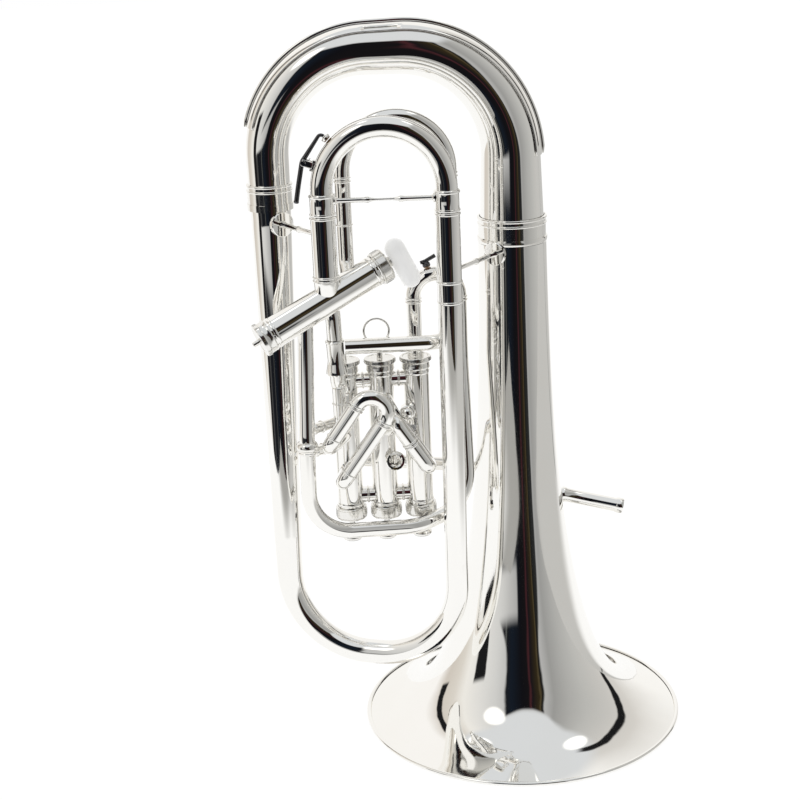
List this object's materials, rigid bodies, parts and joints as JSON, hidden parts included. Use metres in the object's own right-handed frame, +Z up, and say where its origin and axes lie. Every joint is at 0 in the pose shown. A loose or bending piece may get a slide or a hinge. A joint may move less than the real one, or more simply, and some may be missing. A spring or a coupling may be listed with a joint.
{
  "type": "compensating euphonium",
  "caption": "silver-plated conical brass wind instrument standing on its bell, with piston valves, pull-out tuning slides and water keys",
  "frame": {"origin": "centre of the bell's mouth, on the floor it stands on", "axes": "+Z up along the bell's axis, -X towards the valves and the loops, -Y towards the side with the tuning slide"},
  "size_m": [0.3881, 0.3042, 0.6665],
  "materials": {
    "silver_plate": "polished silver plate on brass",
    "cap_silver": "knurled polished silver plate",
    "piston_alloy": "honed nickel alloy",
    "pearl": "pale pearl finger rest, smooth",
    "spring_steel": "bare spring wire",
    "key_lever_steel": "polished lever, darkened"
  },
  "bodies": {
    "body_of_horn": {"bell": "silver_plate", "bell_ferrule": "silver_plate", "bottom_bow": "silver_plate", "bow_guard": "silver_plate", "brace_left": "silver_plate", "brace_right": "silver_plate", "branch_ferrule": "silver_plate", "cross_tube": "silver_plate", "first_slide_sleeve_lower": "silver_plate", "first_slide_sleeve_upper": "silver_plate", "leadpipe": "silver_plate", "left_branch": "silver_plate", "long_leg": "silver_plate", "main_bow": "silver_plate", "mouthpiece_receiver": "silver_plate", "pull_ring": "silver_plate", "return_tube": "silver_plate", "second_slide_sleeve_front": "silver_plate", "second_slide_sleeve_rear": "silver_plate", "third_slide_sleeve": "silver_plate", "tuning_sleeve_left": "silver_plate", "tuning_sleeve_right": "silver_plate", "valve1_bottom_cap": "cap_silver", "valve1_casing": "silver_plate", "valve1_spring": "spring_steel", "valve1_top_cap": "cap_silver", "valve1_valve2_knuckle": "silver_plate", "valve2_bottom_cap": "cap_silver", "valve2_casing": "silver_plate", "valve2_spring": "spring_steel", "valve2_top_cap": "cap_silver", "valve2_valve3_knuckle": "silver_plate", "valve3_bottom_cap": "cap_silver", "valve3_casing": "silver_plate", "valve3_spring": "spring_steel", "valve3_top_cap": "cap_silver", "valve4_bottom_cap": "cap_silver", "valve4_casing": "silver_plate", "valve4_outlet": "silver_plate", "valve4_slide_sleeve": "silver_plate", "valve4_top_cap": "cap_silver"},
    "tuning_slide": {"tuning_crook": "silver_plate", "tuning_leg_left": "silver_plate", "tuning_leg_right": "silver_plate", "tuning_brace": "silver_plate", "tuning_key_saddle": "silver_plate"},
    "tuning_key": {"tuning_key_lever": "key_lever_steel"},
    "third_slide": {"third_slide": "silver_plate"},
    "third_key": {"third_key_lever": "key_lever_steel"},
    "fourth_slide": {"valve4_slide": "silver_plate"},
    "first_slide": {"first_slide": "silver_plate"},
    "second_slide": {"second_slide": "silver_plate"},
    "valve4": {"valve4_piston": "piston_alloy", "valve4_button": "pearl"},
    "valve1": {"valve1_piston": "piston_alloy", "valve1_button": "pearl"},
    "valve2": {"valve2_piston": "piston_alloy", "valve2_button": "pearl"},
    "valve3": {"valve3_piston": "piston_alloy", "valve3_button": "pearl"}
  },
  "joints": [
    {"name": "tuning_slide_pull", "type": "slide", "parent": "body_of_horn", "child": "tuning_slide", "axis": [0, 0, 1], "range_m": [0, 0.04]},
    {"name": "tuning_key_hinge", "type": "hinge", "parent": "tuning_slide", "child": "tuning_key", "pos_m": [-0.18317, -0.07284, 0.55797], "axis": [-0.0861, -0.9963, 0], "range_deg": [0, 12], "stiffness_Nm_per_rad": 0.06, "springref_deg": -14.32},
    {"name": "third_slide_pull", "type": "slide", "parent": "body_of_horn", "child": "third_slide", "axis": [0, 0, 1], "range_m": [0, 0.03]},
    {"name": "third_key_hinge", "type": "hinge", "parent": "third_slide", "child": "third_key", "pos_m": [-0.08467, -0.015, 0.45346], "axis": [0, -1, 0], "range_deg": [0, 16], "stiffness_Nm_per_rad": 0.03, "springref_deg": -14.32},
    {"name": "fourth_slide_pull", "type": "slide", "parent": "body_of_horn", "child": "fourth_slide", "axis": [0, 0, 1], "range_m": [0, 0.035]},
    {"name": "first_slide_pull", "type": "slide", "parent": "body_of_horn", "child": "first_slide", "axis": [0.5793, 0, 0.8151], "range_m": [0, 0.028]},
    {"name": "second_slide_pull", "type": "slide", "parent": "body_of_horn", "child": "second_slide", "axis": [0.5299, 0, -0.848], "range_m": [0, 0.008]},
    {"name": "valve4_press", "type": "slide", "parent": "body_of_horn", "child": "valve4", "axis": [-0.8723, -0.2581, -0.4152], "range_m": [-0.012, 0.0035]},
    {"name": "valve1_press", "type": "slide", "parent": "body_of_horn", "child": "valve1", "axis": [0, 0, 1], "range_m": [0, 0.0155], "stiffness_N_per_m": 160, "springref_m": -0.012, "deforming": ["valve1_spring"]},
    {"name": "valve2_press", "type": "slide", "parent": "body_of_horn", "child": "valve2", "axis": [0, 0, 1], "range_m": [0, 0.0155], "stiffness_N_per_m": 160, "springref_m": -0.012, "deforming": ["valve2_spring"]},
    {"name": "valve3_press", "type": "slide", "parent": "body_of_horn", "child": "valve3", "axis": [0, 0, 1], "range_m": [0, 0.0155], "stiffness_N_per_m": 160, "springref_m": -0.012, "deforming": ["valve3_spring"]}
  ]
}
